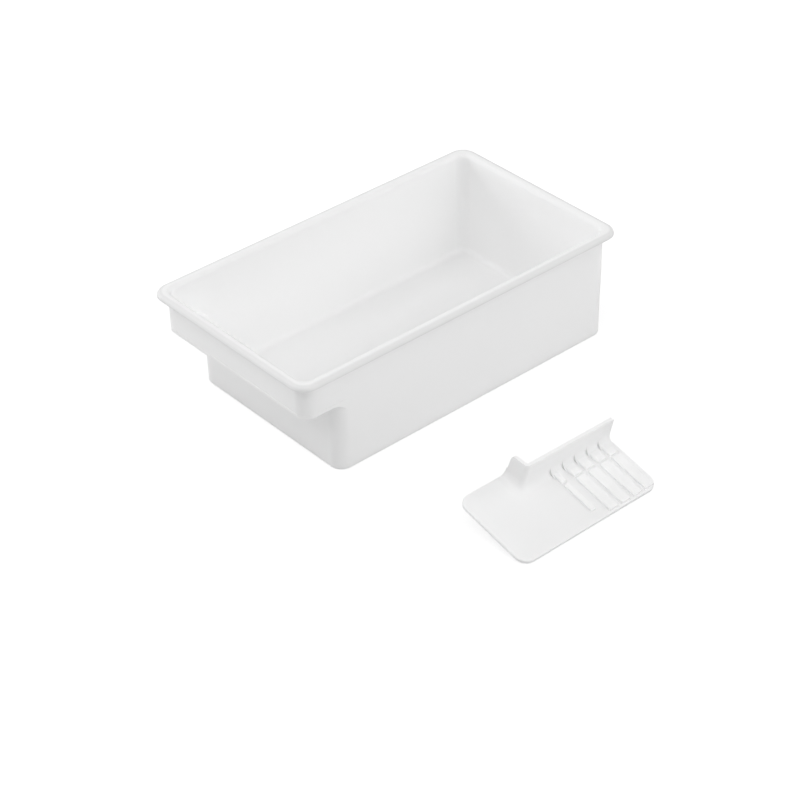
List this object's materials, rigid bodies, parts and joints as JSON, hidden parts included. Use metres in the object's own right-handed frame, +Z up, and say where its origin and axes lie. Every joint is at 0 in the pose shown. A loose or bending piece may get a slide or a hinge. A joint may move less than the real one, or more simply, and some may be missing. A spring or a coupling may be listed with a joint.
{
  "type": "butter keeper",
  "caption": "Deep open butter keeper case with an outward rim and a moulded finger grip at one end, and a loose ribbed slicing guide with an upright wall.",
  "frame": {"origin": "on the surface that the case stands on, under the middle of the case's rim", "axes": "+Z up; the case's long sides run along Y with the finger grip at -Y; the slicing guide stands beside the case at +X"},
  "size_m": [0.1978, 0.185, 0.0552],
  "materials": {
    "case_plastic": "white, smooth moulded, softly glossy",
    "guide_plastic": "white, smooth moulded, softly glossy"
  },
  "bodies": {
    "case": {"case": "case_plastic"},
    "guide": {"slicing_guide": "guide_plastic"}
  },
  "joints": [
    {"name": "guide_lift", "type": "slide", "parent": "case", "child": "guide", "axis": [0, 0, 1], "range_m": [0, 0.12]}
  ]
}
